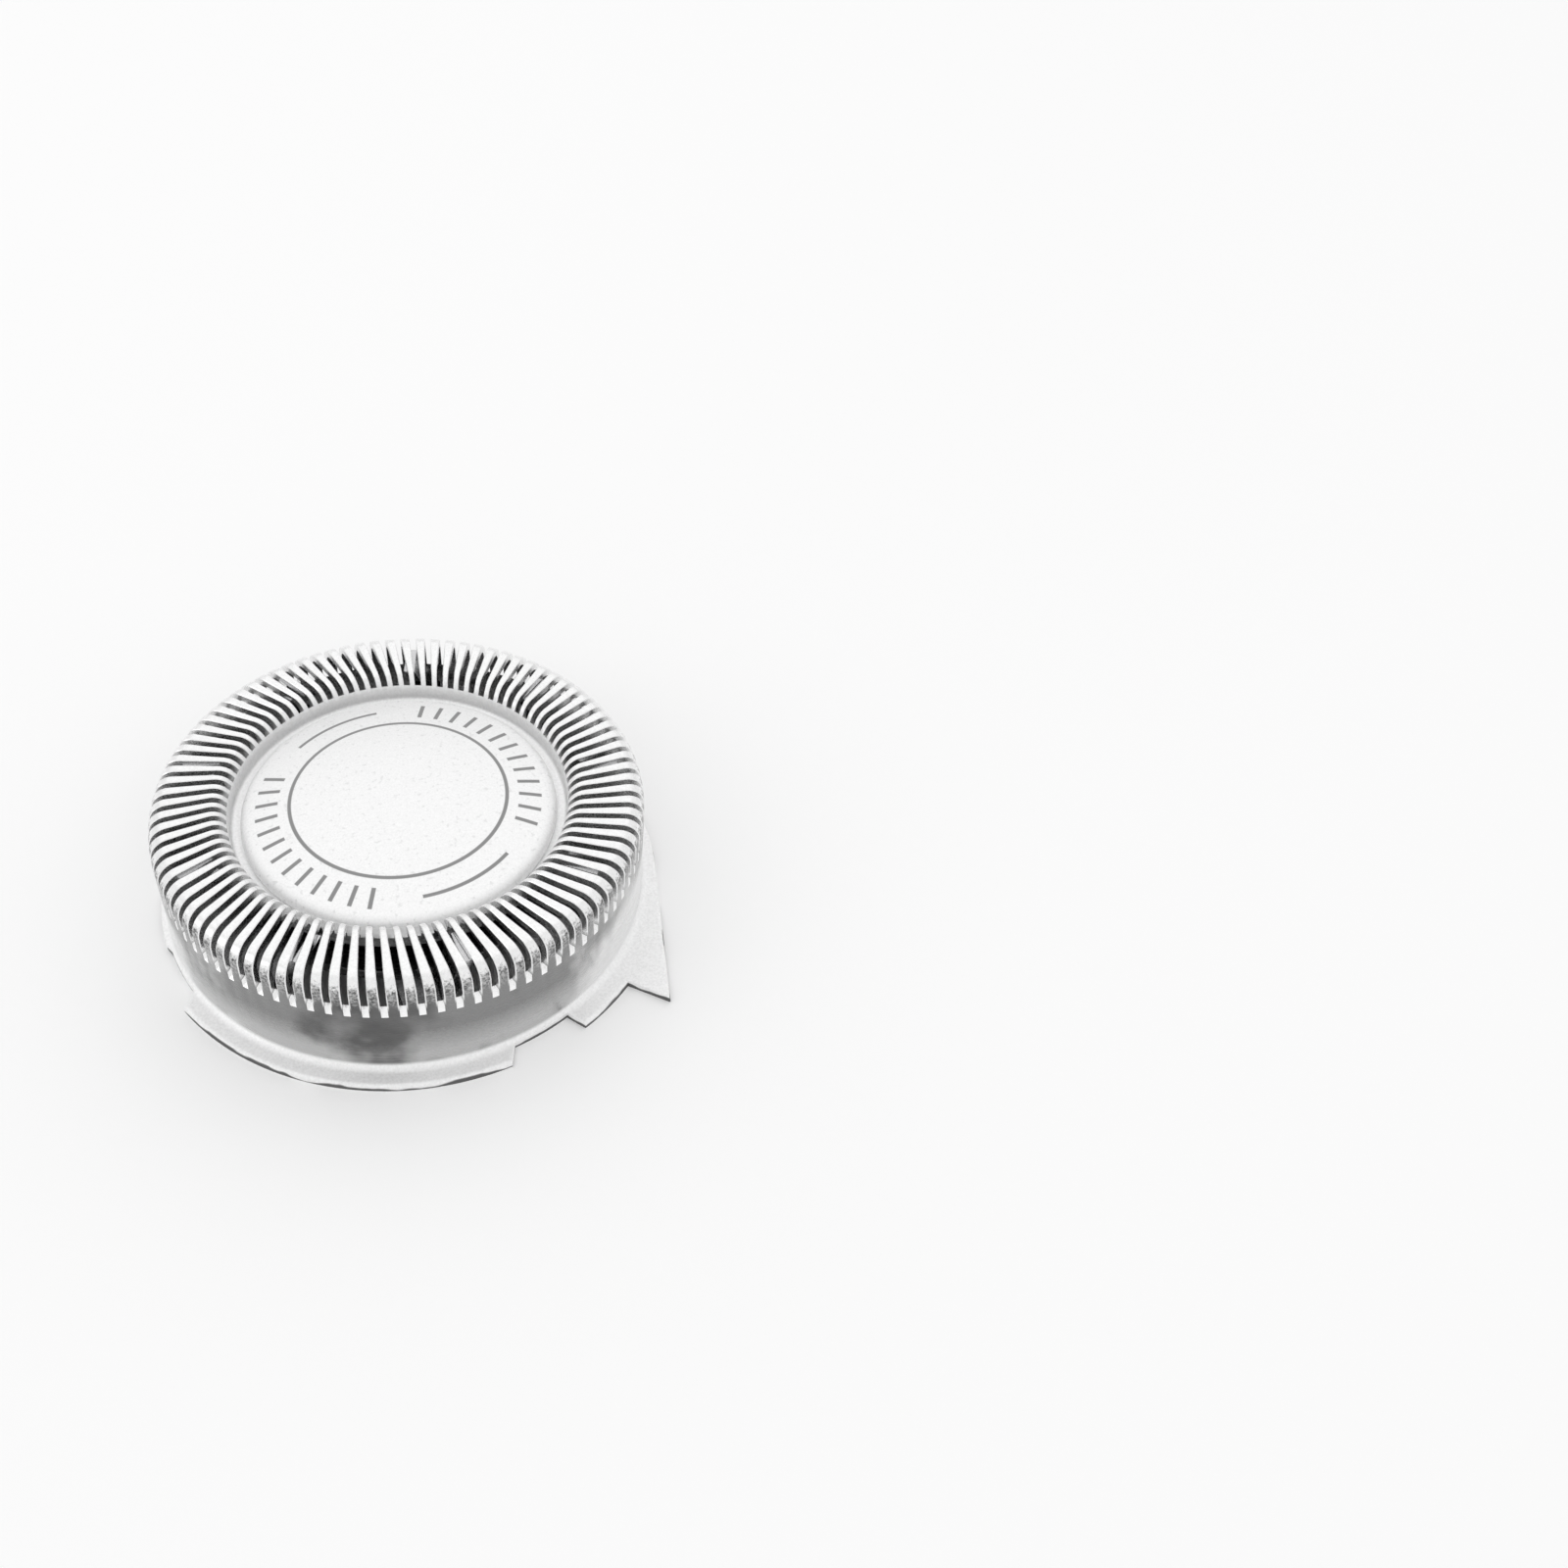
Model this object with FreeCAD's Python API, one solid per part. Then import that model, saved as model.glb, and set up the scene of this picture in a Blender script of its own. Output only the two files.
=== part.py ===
import FreeCAD, Part

import math
import os

# Rotary shaver head: a pressed steel guard with ninety hair slots, its centre disc and plastic
# bearing, and the bladed cutter that spins under the slots. Millimetres.
# The origin is on the spin axis, in the plane that the flange rests on. +Z points out of the
# shaving face. Azimuths are in degrees, anticlockwise from +X as seen from the face.

V = FreeCAD.Vector
ORIGIN = V(0, 0, 0)
UP = V(0, 0, 1)

# Guard sheet, measured on its visible side
head_height = 6.05
guard_sheet = 0.35
wall_radius = 11.35
shoulder_bend = 0.85
recess_radius = 7.8
recess_depth = 1.45
inner_bend = 0.8
recess_foot_bend = 0.2
flange_foot_bend = 0.4
bearing_hole_radius = 2.2

# Flange outline: how far each stretch of it stands out from the wall
front_rim_width = 1.05
side_rim_width = 0.72
tab_rim_width = 0.35
short_rim_width = 1.2
notch_width = 0.2
lobe_width = 3.29
lobe_tangent_azimuth = -6.6
short_rim_from, short_rim_to = -56.0, -42.0
right_notch_from, right_notch_to = -71.0, -57.0
left_notch_from, left_notch_to = 193.3, 209.0
tab_from = 158.0
notch_slant = 2.5

# Hair slots
slot_count = 90
slot_width = 0.3
slot_skew_offset = 1.49
slot_azimuth = 0.3
slot_inner_radius = 7.85
slot_inner_depth = 0.55
slot_outer_depth = 2.2
slot_tool_depth = 1.3
crown_relief = 0.025
crown_hold = 0.2
ledge_drop = 0.05
bend_flat = 0.55

# Centre disc
groove_width = 0.5
disc_sheet = 0.3
disc_edge_bevel = 0.3
disc_crown_drop = 0.1
disc_edge_drop = 0.9
dome_steps = 2

# Bearing in the guard's centre hole
seat_clearance = 0.03
bearing_flange_radius = 3.4
bearing_flange_height = 0.45
bearing_crown_radius = 1.9
bearing_crown_gap = 0.1
bearing_nose_length = 0.75
bearing_nose_radius = 1.95
bearing_bead = 0.25
bearing_bead_height = 0.3
bearing_bore_depth = 1.1

# Cutter
pivot_radius = 0.95
pivot_clearance = 0.05
pivot_end_gap = 0.12
shoulder_gap = 0.1
track_gap = 0.05
blade_count = 9
cutter_sheet = 0.5
blade_rise = 2.45
cutter_bore_radius = 4.3
blade_inner_clearance = 0.57
blade_outer_clearance = 0.58
plate_inset = 0.32
blade_rake = 25.0
blade_bend = 0.45
blade_root = 1.5

# Drive hub
hub_ground_gap = 0.3
hub_core_radius = 2.6
hub_plate_radius = 6.4
hub_plate = 0.7
hub_rib = 0.5
hub_rib_count = 6
hub_chamfer = 0.15
socket_radius = 1.75
socket_corner = 0.45
socket_roof = 0.9
stake_count = 3
stake_circle_radius = 5.35
stake_radius = 0.45
stake_clearance = 0.04
stake_head_radius = 0.75
stake_head_height = 0.25

# Radii and levels worked out from the sizes above
front_rim_radius = wall_radius + front_rim_width
side_rim_radius = wall_radius + side_rim_width
tab_rim_radius = wall_radius + tab_rim_width
short_rim_radius = wall_radius + short_rim_width
notch_radius = wall_radius + notch_width
lobe_reach = wall_radius + lobe_width
disc_radius = recess_radius - groove_width
blade_inner_radius = recess_radius + guard_sheet + blade_inner_clearance
blade_outer_radius = wall_radius - guard_sheet - blade_outer_clearance
cutter_plate_radius = blade_inner_radius - plate_inset
track_middle = (slot_inner_radius + wall_radius) / 2
slot_skew_azimuth = math.degrees(math.asin(slot_skew_offset / track_middle))
floor_top = head_height - recess_depth
floor_underside = floor_top - guard_sheet
inner_ledge = head_height - slot_inner_depth - guard_sheet - ledge_drop
outer_ledge = head_height - slot_outer_depth - ledge_drop
track_underside = head_height - guard_sheet
blade_tip = track_underside - track_gap
cutter_ring_top = blade_tip - blade_rise
cutter_ring_underside = cutter_ring_top - cutter_sheet
bearing_nose_end = floor_underside - bearing_nose_length
hub_shoulder = bearing_nose_end - shoulder_gap
bearing_bore_end = bearing_nose_end + bearing_bore_depth
socket_top = hub_shoulder - socket_roof


def polar(radius, azimuth, height=0.0):
    """The point at a radius, an azimuth in degrees and a height."""
    angle = math.radians(azimuth)
    return V(radius * math.cos(angle), radius * math.sin(angle), height)


def rotated(shape, azimuth):
    """A copy of a shape, turned about the spin axis."""
    copy = shape.copy()
    copy.rotate(ORIGIN, UP, azimuth)
    return copy


def around(shape, count, start=0.0):
    """Copies of a shape, evenly spaced about the spin axis."""
    return [rotated(shape, start + 360.0 * step / count) for step in range(count)]


def rotated_points(reaches, side, azimuth):
    """Points along a line beside the axis, turned to an azimuth."""
    turn = FreeCAD.Rotation(UP, azimuth)
    return [turn.multVec(V(reach, side, 0)) for reach in reaches]


def cylinder(radius, low, high):
    """An upright cylinder on the spin axis between two heights."""
    return Part.makeCylinder(radius, high - low, V(0, 0, low))


def turned(points):
    """The solid made by turning an outline of (radius, height) points about the axis."""
    outline = [V(radius, 0, height) for radius, height in points]
    face = Part.Face(Part.makePolygon(outline + outline[:1]))
    return face.revolve(ORIGIN, UP, 360)


def faceted(section, sides, azimuth):
    """The ring that a section makes with flat sides, which meet at an azimuth and evenly on."""
    corners = []
    for step in range(sides):
        bearing = azimuth + 360.0 * step / sides
        corners.append([polar(point.x, bearing, point.z) for point in section])
    faces = []
    for here, there in zip(corners, corners[1:] + corners[:1]):
        for index in range(len(section)):
            side = [here[index - 1], here[index], there[index], there[index - 1]]
            faces.append(Part.Face(Part.makePolygon(side + side[:1])))
    return Part.Solid(Part.Shell(faces))


def right_of(direction):
    """The unit vector square to a direction in the XZ plane, on its right-hand side."""
    return V(direction.z, 0, -direction.x)


def bent_line(corners):
    """Points along a line of (point, bend radius) corners, with short flats round each bend."""
    points = [corners[0][0]]
    for index in range(1, len(corners) - 1):
        corner, bend = corners[index]
        arriving = (corner - corners[index - 1][0]).normalize()
        leaving = (corners[index + 1][0] - corner).normalize()
        turn = arriving.getAngle(leaving)
        inward = (leaving - arriving).normalize()
        centre = corner + inward * (bend / math.cos(turn / 2))
        start = corner - arriving * (bend * math.tan(turn / 2))
        spoke = start - centre
        flats = max(1, round(turn * bend / bend_flat))
        for step in range(flats + 1):
            angle = turn * step / flats
            points.append(centre + spoke * math.cos(angle) + arriving * (bend * math.sin(angle)))
    points.append(corners[-1][0])
    return points


def sheet_lines(corners, thickness):
    """The two sides of a bent sheet's section. Corners are (x, z, bend) on its face, and the
    sheet lies to the right of the line that they make."""
    points = [V(x, 0, z) for x, z, bend in corners]
    sides = [right_of((b - a).normalize()) for a, b in zip(points, points[1:])]
    sides = [sides[0]] + sides + [sides[-1]]
    face_line = []
    back_line = []
    for point, before, after, (x, z, bend) in zip(points, sides, sides[1:], corners):
        shift = (before + after) * (thickness / (1 + before.dot(after)))
        turns_right = before.cross(after).y > 0
        back_bend = bend - thickness if turns_right else bend + thickness
        face_line.append((point, bend))
        back_line.append((point + shift, back_bend))
    return bent_line(face_line), bent_line(back_line)


def sheet_section(corners, thickness):
    """The closed section of a bent sheet."""
    face_line, back_line = sheet_lines(corners, thickness)
    outline = face_line + back_line[::-1]
    return Part.Face(Part.makePolygon(outline + outline[:1]))


def arc_edge(radius, start, end):
    """An arc about the axis from one azimuth to another."""
    middle = (start + end) / 2
    return Part.Arc(polar(radius, start), polar(radius, middle), polar(radius, end)).toShape()


def flange_outline():
    """The closed outline of the flange, with its two notches, tab and straight-edged lobe."""
    lobe_turn = math.degrees(math.acos(side_rim_radius / lobe_reach))
    lobe_corner = polar(lobe_reach, lobe_tangent_azimuth - lobe_turn)
    arcs = [
        (front_rim_radius, left_notch_to + notch_slant - 360, right_notch_from - notch_slant),
        (notch_radius, right_notch_from, right_notch_to),
        (short_rim_radius, short_rim_from, short_rim_to),
        (side_rim_radius, lobe_tangent_azimuth, tab_from - notch_slant),
        (tab_rim_radius, tab_from, left_notch_from),
        (notch_radius, left_notch_from + notch_slant, left_notch_to),
    ]
    edges = [arc_edge(radius, start, end) for radius, start, end in arcs]
    for index, (radius, start, end) in enumerate(arcs):
        next_radius, next_start, next_end = arcs[(index + 1) % len(arcs)]
        leave = polar(radius, end)
        arrive = polar(next_radius, next_start)
        if radius == short_rim_radius:
            edges.append(Part.makeLine(leave, lobe_corner))
            leave = lobe_corner
        edges.append(Part.makeLine(leave, arrive))
    return Part.Face(Part.Wire(Part.__sortEdges__(edges)))


def slot_azimuth_at(radius):
    """The azimuth of the first slot at a radius, which shifts because the slots are skewed."""
    skew = math.degrees(math.asin(slot_skew_offset / radius))
    return slot_azimuth + slot_skew_azimuth - skew


def slot_tool():
    """The wheel-cut shape of one hair slot: sloping ends, parallel sides, off the radius."""
    def along(radius):
        return math.sqrt(radius ** 2 - slot_skew_offset ** 2)

    above = head_height + guard_sheet
    below = head_height - slot_tool_depth
    inner_end = head_height - slot_inner_depth
    outer_end = head_height - slot_outer_depth
    side = -slot_skew_offset - slot_width / 2
    points = [
        (along(slot_inner_radius) - (above - inner_end), above),
        (along(slot_inner_radius) + (inner_end - below), below),
        (along(wall_radius) - (below - outer_end), below),
        (along(wall_radius) + guard_sheet, outer_end - guard_sheet),
        (along(wall_radius) + guard_sheet, above),
    ]
    outline = [V(reach, side, height) for reach, height in points]
    return Part.Face(Part.makePolygon(outline + outline[:1])).extrude(V(0, slot_width, 0))


def crown():
    """The slotted track: flat from slot to slot, with ninety skewed slots cut by a wheel. It
    is a hair thinner than the rest of the sheet, and its two feet run on inside it."""
    top = head_height - crown_relief
    sheet = guard_sheet - 2 * crown_relief
    face_line, back_line = sheet_lines([
        (recess_radius + crown_relief, inner_ledge - crown_hold, 0),
        (recess_radius + crown_relief, top, inner_bend - crown_relief),
        (wall_radius - crown_relief, top, shoulder_bend - crown_relief),
        (wall_radius - crown_relief, outer_ledge - crown_hold, 0),
    ], sheet)
    back_line = back_line[::-1]
    inner_seam = [V(track_middle + crown_hold, 0, top), V(track_middle + crown_hold, 0, top - sheet)]
    outer_seam = [V(track_middle - crown_hold, 0, top - sheet), V(track_middle - crown_hold, 0, top)]
    inner = [point for point in face_line if point.x < track_middle] + inner_seam
    inner += [point for point in back_line if point.x < track_middle]
    outer = outer_seam + [point for point in face_line if point.x > track_middle]
    outer += [point for point in back_line if point.x > track_middle]
    inner_ring = faceted(inner, slot_count, slot_azimuth_at(recess_radius + inner_bend / 2))
    outer_ring = faceted(outer, slot_count, slot_azimuth_at(wall_radius - shoulder_bend / 2))
    slots = around(slot_tool(), slot_count, slot_azimuth + slot_skew_azimuth)
    return inner_ring.fuse(outer_ring).removeSplitter().cut(Part.makeCompound(slots))


def guard_shell():
    """The pressed cap: recess cup, slotted crown, and side wall with the flange at its foot."""
    cup = sheet_section([
        (bearing_hole_radius, floor_top, 0),
        (recess_radius, floor_top, recess_foot_bend),
        (recess_radius, inner_ledge, 0),
    ], guard_sheet)
    skirt = sheet_section([
        (wall_radius, outer_ledge, 0),
        (wall_radius, guard_sheet, flange_foot_bend),
        (lobe_reach + guard_sheet, guard_sheet, 0),
    ], guard_sheet)
    trimmed = skirt.revolve(ORIGIN, UP, 360).common(flange_outline().extrude(V(0, 0, head_height)))
    return crown().fuse([cup.revolve(ORIGIN, UP, 360), trimmed])


def dome_height(radius):
    """The height of the disc's domed top at a radius. The dome is part of a sphere."""
    drop = disc_edge_drop - disc_crown_drop
    sphere = ((disc_radius - disc_edge_bevel) ** 2 + drop ** 2) / (2 * drop)
    return head_height - disc_crown_drop - sphere + math.sqrt(sphere ** 2 - radius ** 2)


def dome_points(radius, drop):
    """Points on the dome from the axis out to a radius, lowered by a drop."""
    parts = [radius * step / dome_steps for step in range(dome_steps + 1)]
    return [(part, dome_height(part) - drop) for part in parts]


def centre_disc():
    """The domed trim disc with its edge turned down onto the recess floor."""
    bevel_radius = disc_radius - disc_edge_bevel
    inside_radius = disc_radius - disc_sheet
    top = dome_points(bevel_radius, 0)
    edge = [
        (disc_radius, dome_height(bevel_radius) - disc_edge_bevel),
        (disc_radius, floor_top),
        (inside_radius, floor_top),
    ]
    return turned(top + edge + dome_points(inside_radius, disc_sheet)[::-1])


def guide_bearing():
    """The plastic bearing, snapped through the guard's centre hole, that the cutter turns in."""
    stem = bearing_hole_radius - seat_clearance
    bead = bearing_hole_radius + bearing_bead
    bead_top = floor_underside - seat_clearance
    flange_top = floor_top + bearing_flange_height
    crown_top = dome_height(bearing_crown_radius) - disc_sheet - bearing_crown_gap
    bore = pivot_radius + pivot_clearance
    return turned([
        (0, bearing_bore_end),
        (bore, bearing_bore_end),
        (bore, bearing_nose_end),
        (bearing_nose_radius, bearing_nose_end),
        (bead, bead_top - bearing_bead_height),
        (bead, bead_top),
        (stem, bead_top),
        (stem, floor_top),
        (bearing_flange_radius, floor_top),
        (bearing_flange_radius, flange_top),
        (bearing_crown_radius, flange_top),
        (bearing_crown_radius, crown_top),
        (0, crown_top),
    ])


def blade_lean():
    """How far a blade's tip leads its foot."""
    return blade_rise * math.tan(math.radians(blade_rake))


def blade():
    """One blade: a tongue of the ring bent up and leaning forward, its tip ground flat."""
    overrun = cutter_sheet
    slope = math.tan(math.radians(blade_rake))
    tongue = sheet_section([
        (-blade_lean() - blade_root, cutter_ring_top, 0),
        (-blade_lean(), cutter_ring_top, blade_bend),
        (overrun * slope, blade_tip + overrun, 0),
    ], cutter_sheet)
    tongue.rotate(ORIGIN, UP, 90)
    tongue.translate(V(blade_inner_radius, 0, 0))
    bent = tongue.extrude(V(blade_outer_radius - blade_inner_radius, 0, 0))
    return bent.common(cylinder(lobe_reach, 0, blade_tip))


def blade_root_pad():
    """The flat part of a tongue, between the ring's plate and the blade's bend."""
    reach = blade_outer_radius - cutter_bore_radius
    corner = V(cutter_bore_radius, -blade_lean() - blade_root, cutter_ring_underside)
    return Part.makeBox(reach, blade_root - blade_bend, cutter_sheet, corner)


def cutter_ring():
    """The stamped steel ring with its raised blades and the holes that it is staked by."""
    plate = cylinder(cutter_plate_radius, cutter_ring_underside, cutter_ring_top)
    blank = plate.fuse(around(blade_root_pad(), blade_count) + around(blade(), blade_count))
    hole = Part.makeCylinder(stake_radius + stake_clearance, head_height, V(stake_circle_radius, 0, 0))
    bores = around(hole, stake_count) + [cylinder(cutter_bore_radius, 0, head_height)]
    return blank.cut(Part.makeCompound(bores)).removeSplitter()


def socket_tool():
    """The three-lobed hole that the drive spindle's tip fits, cut up from the hub's end."""
    centres = [polar(socket_radius - socket_corner, 120 * lobe) for lobe in range(3)]
    pins = [Part.makeCylinder(socket_corner, socket_top, centre) for centre in centres]
    hull = []
    for lobe, centre in enumerate(centres):
        hull += [centre + polar(socket_corner, 120 * lobe - 60), centre + polar(socket_corner, 120 * lobe + 60)]
    core = Part.Face(Part.makePolygon(hull + hull[:1])).extrude(V(0, 0, socket_top))
    return core.fuse(pins).removeSplitter()


def hub_stake():
    """One moulded post through the ring, with the head that was melted over it."""
    post = Part.makeCylinder(stake_radius, cutter_sheet, V(0, 0, cutter_ring_underside))
    head = Part.makeCone(stake_head_radius, stake_radius, stake_head_height, V(0, 0, cutter_ring_top))
    stake = post.fuse(head)
    stake.translate(V(stake_circle_radius, 0, 0))
    return stake


def drive_hub():
    """The plastic hub: drive socket, ribbed plate, stakes for the ring and the pivot on top."""
    plate_low = cutter_ring_underside - hub_plate
    pivot_top = bearing_bore_end - pivot_end_gap
    body = turned([
        (0, hub_ground_gap),
        (hub_core_radius - hub_chamfer, hub_ground_gap),
        (hub_core_radius, hub_ground_gap + hub_chamfer),
        (hub_core_radius, plate_low),
        (hub_plate_radius, plate_low),
        (hub_plate_radius, cutter_ring_underside),
        (hub_core_radius, cutter_ring_underside),
        (hub_core_radius, hub_shoulder - hub_chamfer),
        (hub_core_radius - hub_chamfer, hub_shoulder),
        (pivot_radius, hub_shoulder),
        (pivot_radius, pivot_top - hub_chamfer),
        (pivot_radius - hub_chamfer, pivot_top),
        (0, pivot_top),
    ])
    rib_points = [
        V(0, -hub_rib / 2, plate_low),
        V(hub_plate_radius - hub_rib, -hub_rib / 2, plate_low),
        V(hub_core_radius, -hub_rib / 2, hub_ground_gap + hub_rib),
        V(0, -hub_rib / 2, hub_ground_gap + hub_rib),
    ]
    rib = Part.Face(Part.makePolygon(rib_points + rib_points[:1])).extrude(V(0, hub_rib, 0))
    grown = body.fuse(around(rib, hub_rib_count, 30.0) + around(hub_stake(), stake_count))
    return grown.cut(socket_tool()).removeSplitter()


def main():
    os.makedirs("parts", exist_ok=True)
    nodes = {
        "guard_shell": guard_shell(),
        "centre_disc": centre_disc(),
        "guide_bearing": guide_bearing(),
        "cutter_ring": cutter_ring(),
        "drive_hub": drive_hub(),
    }
    for name, shape in nodes.items():
        if shape.ShapeType == "Compound" and len(shape.Solids) == 1:
            shape = shape.Solids[0]
        print(name, shape.ShapeType, len(shape.Solids), "valid", shape.isValid(), "mm3", round(shape.Volume, 3))
        shape.exportStep("parts/" + name + ".step")


main()
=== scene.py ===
# %% [markdown]
# # Dressing a rotary shaver head
#
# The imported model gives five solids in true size: a pressed steel guard, a domed trim disc, a
# plastic bearing, a bladed cutter ring and a plastic hub. This lesson gives each of them the
# rounded edges, the ground and satin surfaces and the light that the real head has. Lengths
# are worked out in millimetres and turned into metres where a mesh is made.

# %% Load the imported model
import math

import bmesh
import bpy
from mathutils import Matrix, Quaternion, Vector


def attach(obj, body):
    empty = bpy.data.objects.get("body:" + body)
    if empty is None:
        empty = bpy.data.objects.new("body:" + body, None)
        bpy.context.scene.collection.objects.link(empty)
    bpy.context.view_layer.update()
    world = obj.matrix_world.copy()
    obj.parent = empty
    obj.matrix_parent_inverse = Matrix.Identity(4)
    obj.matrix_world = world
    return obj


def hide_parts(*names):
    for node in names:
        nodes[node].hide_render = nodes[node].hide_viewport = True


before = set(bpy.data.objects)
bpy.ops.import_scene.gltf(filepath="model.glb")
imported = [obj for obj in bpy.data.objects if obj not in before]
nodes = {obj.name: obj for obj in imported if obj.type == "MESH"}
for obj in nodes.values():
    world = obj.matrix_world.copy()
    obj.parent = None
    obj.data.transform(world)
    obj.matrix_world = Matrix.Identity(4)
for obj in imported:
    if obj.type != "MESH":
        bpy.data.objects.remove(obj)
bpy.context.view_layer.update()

MM = 0.001
print("packed solids:", ", ".join(sorted(nodes)))

# %% [markdown]
# ## Sizes of the guard
#
# The guard is one sheet of steel, bent four times and slotted. These sizes are the ones that
# its solid was built from. Writing them once, by name, keeps the rounded mesh below on top of
# the solid that it stands for.

# %% Guard sizes in millimetres
head_height = 6.05
sheet = 0.35
wall_radius = 11.35
shoulder_bend = 0.85
recess_radius = 7.8
floor_top = 4.6
inner_bend = 0.8
recess_foot_bend = 0.2
flange_foot_bend = 0.4
bearing_hole_radius = 2.2
slot_count = 90
slot_pitch = 360.0 / slot_count
slot_width = 0.3
slot_offset = 1.49
slot_azimuth = 9.23
slot_inner_drop = 0.55
slot_outer_drop = 2.2
edge_break = 0.035
print("slot pitch:", slot_pitch, "degrees")


# %% [markdown]
# ## Round bends as rows of points
#
# A bent sheet has an outer line and an inner line that turn about the same centre. A helper
# gives the points of such a turn, so that the two lines get the same number of points and the
# slot walls between them are plain four-sided faces.

# %% Points round a bend
def bend_points(centre, radius, start, end, steps):
    """(radius, height) points round a bend, from one angle to another in degrees."""
    points = []
    for step in range(steps + 1):
        angle = math.radians(start + (end - start) * step / steps)
        points.append((centre[0] + radius * math.cos(angle), centre[1] + radius * math.sin(angle)))
    return points


print("a quarter turn in two steps:", bend_points((0.0, 0.0), 1.0, 0, 90, 2))


# %% [markdown]
# The sheet's face and its back are each a line from the bearing hole out to the foot. Both are
# cut in three where the slots start and end: the cup inside them, the slotted crown, and the
# skirt below them. The slots' ends slope, so the face and the back are cut at different heights.

# %% Lines of the sheet
inner_centre = (recess_radius + inner_bend, head_height - inner_bend)
shoulder_centre = (wall_radius - shoulder_bend, head_height - shoulder_bend)
foot_centre = (recess_radius - recess_foot_bend, floor_top + recess_foot_bend)
flange_centre = (wall_radius + flange_foot_bend, sheet + flange_foot_bend)

slot_start_height = head_height - slot_inner_drop
slot_start_rise = (slot_start_height - inner_centre[1]) / inner_bend
slot_start_angle = 180.0 - math.degrees(math.asin(slot_start_rise))
slot_start = bend_points(inner_centre, inner_bend, slot_start_angle, slot_start_angle, 1)[0]
back_start = (recess_radius + sheet, slot_start[1] - (recess_radius + sheet - slot_start[0]))
slot_end = (wall_radius, head_height - slot_outer_drop)
back_end = (wall_radius - sheet, slot_end[1] + sheet)

face_cup = [(bearing_hole_radius, floor_top)]
face_cup += bend_points(foot_centre, recess_foot_bend, -90, 0, 4)
face_cup += bend_points(inner_centre, inner_bend, 180, slot_start_angle, 1)
back_cup = [(bearing_hole_radius, floor_top - sheet)]
back_cup += bend_points(foot_centre, recess_foot_bend + sheet, -90, 0, 4)
back_cup += [(recess_radius + sheet, back_start[1] - 0.1), back_start]

face_crown = [slot_start]
face_crown += bend_points(inner_centre, inner_bend, slot_start_angle, 90, 6)[1:]
face_crown += bend_points(shoulder_centre, shoulder_bend, 90, 0, 8)
face_crown += [slot_end]
back_crown = [back_start]
back_crown += bend_points(inner_centre, inner_bend - sheet, 180, 90, 5)
back_crown += bend_points(shoulder_centre, shoulder_bend - sheet, 90, 0, 8)
back_crown += [back_end]

face_skirt = [slot_end, (wall_radius, flange_centre[1])]
back_skirt = [back_end, (wall_radius - sheet, flange_centre[1])]
print("rows along the crown:", len(face_crown), len(back_crown))


# %% [markdown]
# ## One pitch of the slotted crown
#
# The crown repeats ninety times, so only one slat and the slot beside it are drawn. Cutting
# ninety boxes out of a turned ring would work too, but it leaves ragged faces, while drawn rows
# give clean ones. A slot is parallel-sided and lies beside the radius, so its edge at any
# radius is found from how far it stands from the axis.

# %% Azimuths and rows of a pitch
def edge_azimuth(radius, side):
    """The azimuth in radians at which a slot's side line is at a radius."""
    return math.radians(slot_azimuth) + math.asin((side - slot_offset) / radius)


def pitch_columns(radius):
    """Azimuths of a pitch at a radius: slot edge, edge break, edge break, slot edge, next slat."""
    turn = math.radians(slot_pitch)
    first = edge_azimuth(radius, slot_width / 2)
    last = edge_azimuth(radius, -slot_width / 2) + turn
    break_turn = edge_break / radius
    return [first, first + break_turn, last - break_turn, last, first + turn]


def placed(radius, azimuth, height):
    """A place in metres from a radius and a height in millimetres and an azimuth in radians."""
    return Vector((radius * math.cos(azimuth), radius * math.sin(azimuth), height)) * MM


def pitch_row(mesh, point, columns):
    """Mesh vertices for one row of a pitch, at given azimuths."""
    return [mesh.verts.new(placed(point[0], azimuth, point[1])) for azimuth in columns]


def fill(mesh, near, far, flip):
    """Four-sided faces between two rows of vertices."""
    for index in range(len(near) - 1):
        corners = [near[index], near[index + 1], far[index + 1], far[index]]
        mesh.faces.new(corners[::-1] if flip else corners)


print("azimuths in a pitch:", len(pitch_columns(wall_radius)))


# %% [markdown]
# The cup and the skirt run on under the slots, so their rows go the whole way across the pitch.
# A slat's rows stop at its two edges. These are let down by a hair, as grinding and lapping
# leave them, and that break is what catches the light in the photograph.

# %% Rows of the walls and of a slat
def surface_normals(line):
    """Unit normals in the (radius, height) plane, pointing to the left of a line of points."""
    normals = []
    for index in range(len(line)):
        before = line[max(index - 1, 0)]
        after = line[min(index + 1, len(line) - 1)]
        along = Vector((after[0] - before[0], after[1] - before[1])).normalized()
        normals.append(Vector((-along.y, along.x)))
    return normals


def full_rows(mesh, line, flip, last_radius=None):
    """Rows that run on under the slots as well, with the faces between them. Rows inside the
    recess take the azimuths of its wall, because slots that near the axis would cross. The last
    row can take its azimuths from another radius, to meet a row there."""
    radii = [max(point[0], recess_radius) for point in line[:-1]] + [last_radius or line[-1][0]]
    rows = [pitch_row(mesh, point, pitch_columns(radius)) for point, radius in zip(line, radii)]
    for near, far in zip(rows, rows[1:]):
        fill(mesh, near, far, flip)
    return rows


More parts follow.
